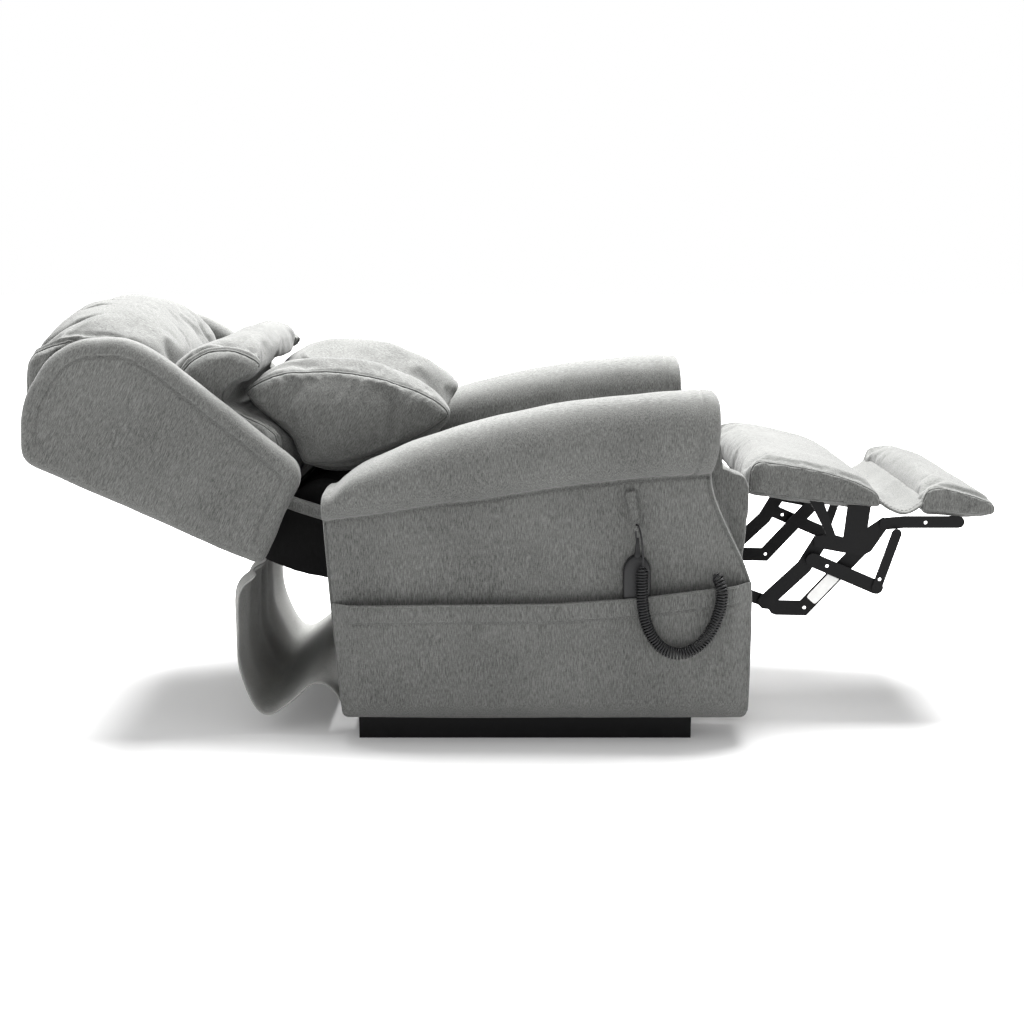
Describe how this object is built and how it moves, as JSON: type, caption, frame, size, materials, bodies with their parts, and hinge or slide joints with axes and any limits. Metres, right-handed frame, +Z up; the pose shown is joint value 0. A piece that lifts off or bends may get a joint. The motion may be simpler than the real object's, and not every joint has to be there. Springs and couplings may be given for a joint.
{
  "type": "lift recliner chair",
  "caption": "Upholstered lift recliner with rolled arms, pillow back, fold-out footrest with flipper, side pockets, wired handset and powered lift base.",
  "frame": {"origin": "on the floor, under the middle of the reclined chair's length and width", "axes": "+X forward, the way the sitter faces; +Y to the sitter's left; +Z up"},
  "size_m": [1.7392, 0.8275, 0.7584],
  "materials": {
    "upholstery": "woven melange",
    "drape": "felted lining",
    "black_cloth": "non-woven",
    "steel": "satin black powder coat",
    "rod_steel": "ground",
    "actuator": "fine texture",
    "handset": "satin",
    "keys": "matte",
    "timber": "plain board"
  },
  "bodies": {
    "base": {"base_side_rail_left": "steel", "base_side_rail_right": "steel", "base_link_channel_left": "steel", "base_link_channel_right": "steel", "base_front_tube": "steel", "base_rear_tube": "steel"},
    "rear_lift_links": {"rear_lift_link_left": "steel", "rear_lift_link_right": "steel"},
    "front_lift_links": {"front_lift_link_left": "steel", "front_lift_link_right": "steel"},
    "lift_housing": {"lift_actuator_housing": "actuator"},
    "lift_rod": {"lift_actuator_rod": "rod_steel"},
    "chair": {"seat_side_plate_left": "steel", "seat_side_plate_right": "steel", "rear_cross_tube": "steel", "front_cross_tube": "steel", "seat_cushion": "upholstery", "seat_spring_deck": "timber", "front_seat_rail": "upholstery", "arm_left": "upholstery", "arm_right": "upholstery", "side_pocket_left": "upholstery", "side_pocket_right": "upholstery", "handset_body": "handset", "handset_strap": "upholstery", "handset_lead": "handset", "handset_coil": "handset"},
    "back": {"back_panel": "upholstery", "back_wing_left": "upholstery", "back_wing_right": "upholstery", "lower_back_frame": "black_cloth", "head_pillow": "upholstery", "middle_pillow": "upholstery", "lumbar_pillow": "upholstery", "rear_drape": "drape"},
    "recline_housing": {"recline_actuator_housing": "actuator"},
    "recline_rod": {"recline_actuator_rod": "rod_steel"},
    "footrest_housing": {"footrest_actuator_housing": "actuator"},
    "footrest_rod": {"footrest_actuator_rod": "rod_steel"},
    "drive_links": {"drive_link_left": "steel", "drive_link_right": "steel"},
    "front_links": {"front_footrest_link_left": "steel", "front_footrest_link_right": "steel"},
    "rear_links": {"rear_footrest_link_left": "steel", "rear_footrest_link_right": "steel"},
    "cross_links": {"cross_link_left": "steel", "cross_link_right": "steel"},
    "flipper_struts": {"flipper_strut_left": "steel", "flipper_strut_right": "steel"},
    "ottoman": {"ottoman_bracket_left": "steel", "ottoman_bracket_right": "steel", "leg_pad": "upholstery", "pad_flap": "upholstery"},
    "flipper": {"flipper_bracket_left": "steel", "flipper_bracket_right": "steel", "flipper_pad": "upholstery"},
    "key_back_up": {"key_back_up": "keys"},
    "key_back_down": {"key_back_down": "keys"},
    "key_legs_up": {"key_legs_up": "keys"},
    "key_legs_down": {"key_legs_down": "keys"}
  },
  "joints": [
    {"name": "lift", "type": "hinge", "parent": "base", "child": "rear_lift_links", "pos_m": [0.12, 0, 0.06], "axis": [0, 1, 0], "range_deg": [0, 58]},
    {"name": "chair_tilt", "type": "hinge", "parent": "rear_lift_links", "child": "chair", "pos_m": [-0.235, 0, 0.105], "axis": [0, 1, 0], "range_deg": [-33.3, 0]},
    {"name": "front_lift_link_pivot", "type": "hinge", "parent": "base", "child": "front_lift_links", "pos_m": [0.257, 0, 0.06], "axis": [0, 1, 0], "range_deg": [0, 76.3]},
    {"name": "lift_actuator_pivot", "type": "hinge", "parent": "base", "child": "lift_housing", "pos_m": [-0.24, 0, 0.062], "axis": [0, 1, 0], "range_deg": [-7.12, 0]},
    {"name": "lift_actuator_stroke", "type": "slide", "parent": "lift_housing", "child": "lift_rod", "axis": [0.9815, 0, 0.1914], "range_m": [0, 0.2068]},
    {"name": "recline", "type": "hinge", "parent": "chair", "child": "back", "pos_m": [-0.18, 0, 0.4], "axis": [0, 1, 0], "range_deg": [0, 50], "deforming": ["rear_drape"]},
    {"name": "recline_actuator_pivot", "type": "hinge", "parent": "chair", "child": "recline_housing", "pos_m": [0.19, 0, 0.2], "axis": [0, 1, 0], "range_deg": [0, 6.88]},
    {"name": "recline_actuator_stroke", "type": "slide", "parent": "recline_housing", "child": "recline_rod", "axis": [-0.9728, 0, 0.2316], "range_m": [0, 0.0797]},
    {"name": "footrest_fold", "type": "hinge", "parent": "chair", "child": "ottoman", "pos_m": [0.438, 0, 0.425], "axis": [0, 1, 0], "range_deg": [0, 82]},
    {"name": "drive_link_pivot", "type": "hinge", "parent": "chair", "child": "drive_links", "pos_m": [0.408, 0, 0.394], "axis": [0, 1, 0], "range_deg": [0, 95.3]},
    {"name": "front_footrest_link_pivot", "type": "hinge", "parent": "drive_links", "child": "front_links", "pos_m": [0.4665, 0, 0.226], "axis": [0, 1, 0], "range_deg": [-21.55, 0]},
    {"name": "rear_footrest_link_pivot", "type": "hinge", "parent": "drive_links", "child": "rear_links", "pos_m": [0.487, 0, 0.214], "axis": [0, 1, 0], "range_deg": [-19.95, 0]},
    {"name": "cross_link_pivot", "type": "hinge", "parent": "front_links", "child": "cross_links", "pos_m": [0.549, 0, 0.307], "axis": [0, 1, 0], "range_deg": [0, 11.4]},
    {"name": "flipper_strut_pivot", "type": "hinge", "parent": "cross_links", "child": "flipper_struts", "pos_m": [0.6664, 0, 0.2562], "axis": [0, 1, 0], "range_deg": [-24.29, 0]},
    {"name": "flipper_fold", "type": "hinge", "parent": "ottoman", "child": "flipper", "pos_m": [0.679, 0, 0.374], "axis": [0, 1, 0], "range_deg": [0, 90.3]},
    {"name": "footrest_actuator_pivot", "type": "hinge", "parent": "chair", "child": "footrest_housing", "pos_m": [-0.12, 0, 0.19], "axis": [0, 1, 0], "range_deg": [-14.08, 0]},
    {"name": "footrest_actuator_stroke", "type": "slide", "parent": "footrest_housing", "child": "footrest_rod", "axis": [0.9794, 0, 0.2018], "range_m": [-0.0669, 0]},
    {"name": "key_back_up_press", "type": "slide", "parent": "chair", "child": "key_back_up", "axis": [0, -1, 0], "range_m": [0, 0.0009], "stiffness_N_per_m": 900},
    {"name": "key_back_down_press", "type": "slide", "parent": "chair", "child": "key_back_down", "axis": [0, -1, 0], "range_m": [0, 0.0009], "stiffness_N_per_m": 900},
    {"name": "key_legs_up_press", "type": "slide", "parent": "chair", "child": "key_legs_up", "axis": [0, -1, 0], "range_m": [0, 0.0009], "stiffness_N_per_m": 900},
    {"name": "key_legs_down_press", "type": "slide", "parent": "chair", "child": "key_legs_down", "axis": [0, -1, 0], "range_m": [0, 0.0009], "stiffness_N_per_m": 900}
  ],
  "couplings": [
    {"joint": "chair_tilt", "follows": "lift", "ratio": -0.56897},
    {"joint": "front_lift_link_pivot", "follows": "lift", "ratio": 1.3103},
    {"joint": "lift_actuator_pivot", "follows": "lift", "ratio": -0.11752},
    {"joint": "lift_actuator_stroke", "follows": "lift", "m_per_rad": 0.20228},
    {"joint": "recline_actuator_pivot", "follows": "recline", "ratio": 0.13167},
    {"joint": "recline_actuator_stroke", "follows": "recline", "m_per_rad": 0.088981},
    {"joint": "drive_link_pivot", "follows": "footrest_fold", "ratio": 1.1585},
    {"joint": "front_footrest_link_pivot", "follows": "footrest_fold", "ratio": -0.25909},
    {"joint": "rear_footrest_link_pivot", "follows": "footrest_fold", "ratio": -0.23967},
    {"joint": "cross_link_pivot", "follows": "footrest_fold", "ratio": 0.13539},
    {"joint": "flipper_strut_pivot", "follows": "footrest_fold", "ratio": -0.29261},
    {"joint": "flipper_fold", "follows": "footrest_fold", "ratio": 1.0976},
    {"joint": "footrest_actuator_pivot", "follows": "footrest_fold", "ratio": -0.16809},
    {"joint": "footrest_actuator_stroke", "follows": "footrest_fold", "m_per_rad": -0.04532}
  ]
}
